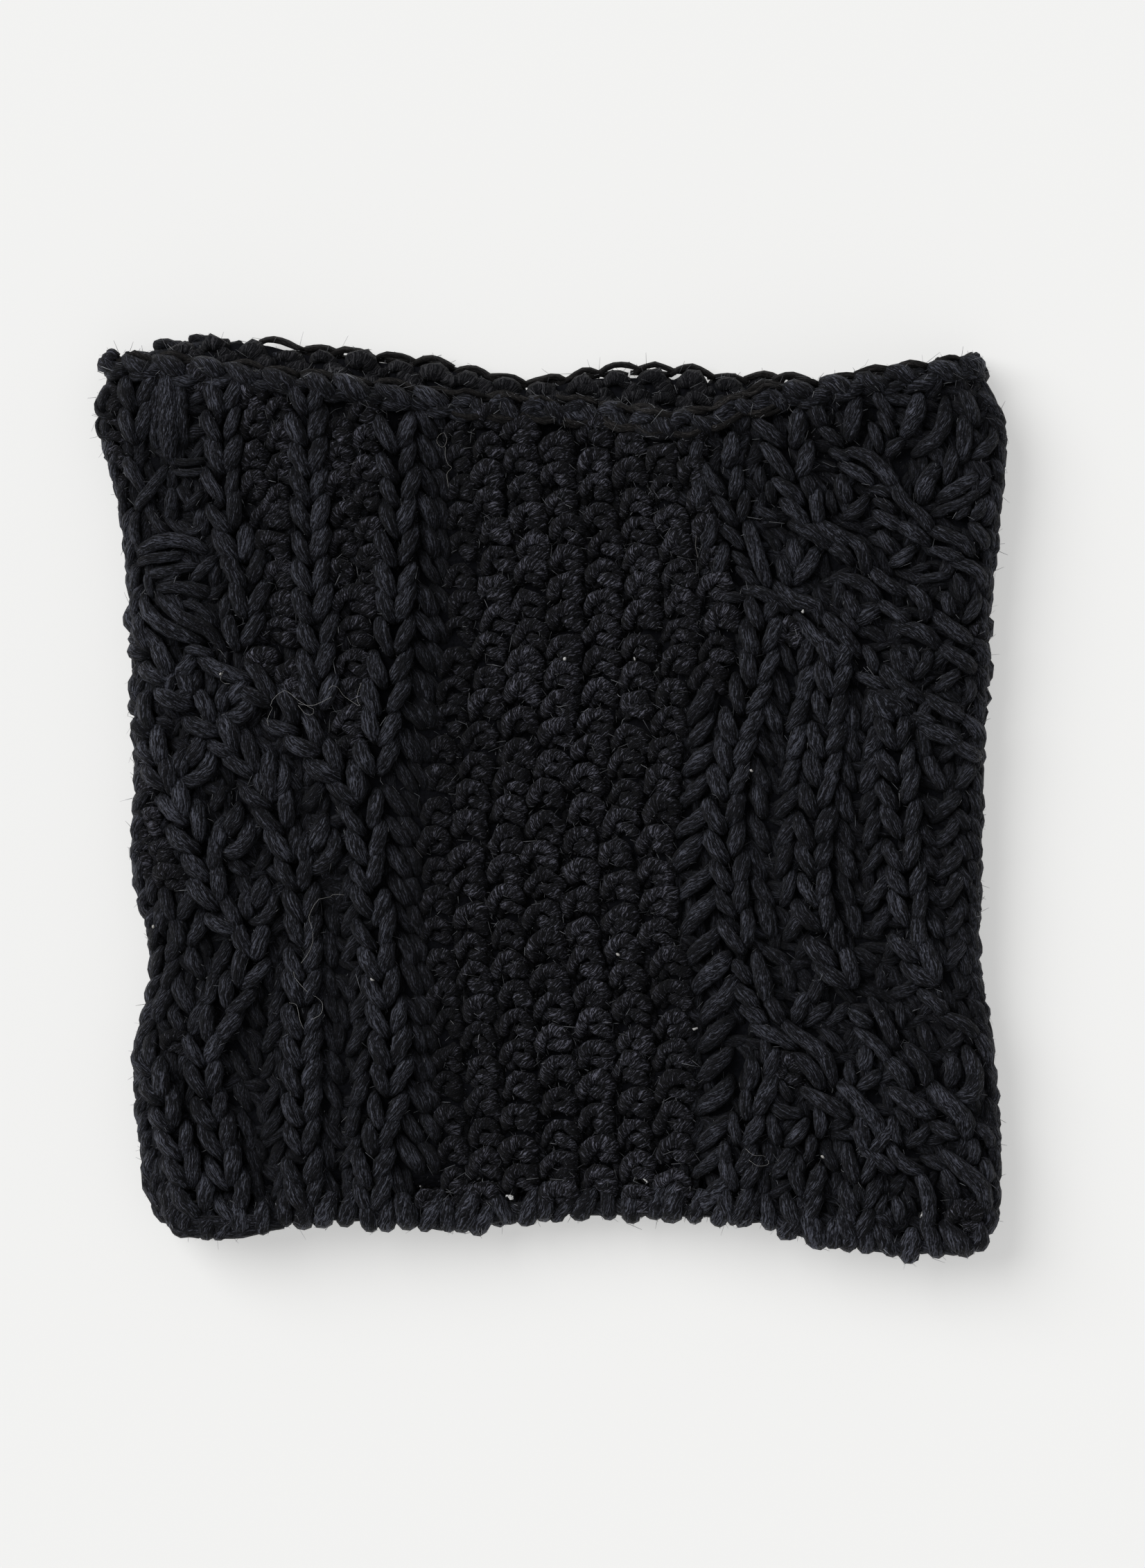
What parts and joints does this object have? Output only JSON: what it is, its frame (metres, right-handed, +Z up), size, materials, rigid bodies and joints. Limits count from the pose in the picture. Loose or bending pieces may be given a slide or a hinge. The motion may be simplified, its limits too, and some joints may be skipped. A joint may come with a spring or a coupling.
{
  "type": "knitted neck warmer",
  "caption": "Chunky knitted tube neck warmer in near-black wool, laid flat with its neck end gaping, with travelling ribs beside a purl panel.",
  "frame": {"origin": "middle of the bounding box, on the table that the underside rests on", "axes": "+X across the tube, +Y from the hem (cast-on edge) to the neck (bound-off edge), +Z up from the table"},
  "size_m": [0.2949, 0.3004, 0.0285],
  "materials": {
    "knit_wool": "soft matt single-ply wool, thick, loosely spun and slightly hairy",
    "edge_wool": "the same wool worked into a chain edge, a little browner where it is rubbed"
  },
  "bodies": {
    "root": {"front_panel": "knit_wool", "back_panel": "knit_wool", "bound_off_edge": "edge_wool", "cast_on_edge": "edge_wool"}
  },
  "joints": []
}
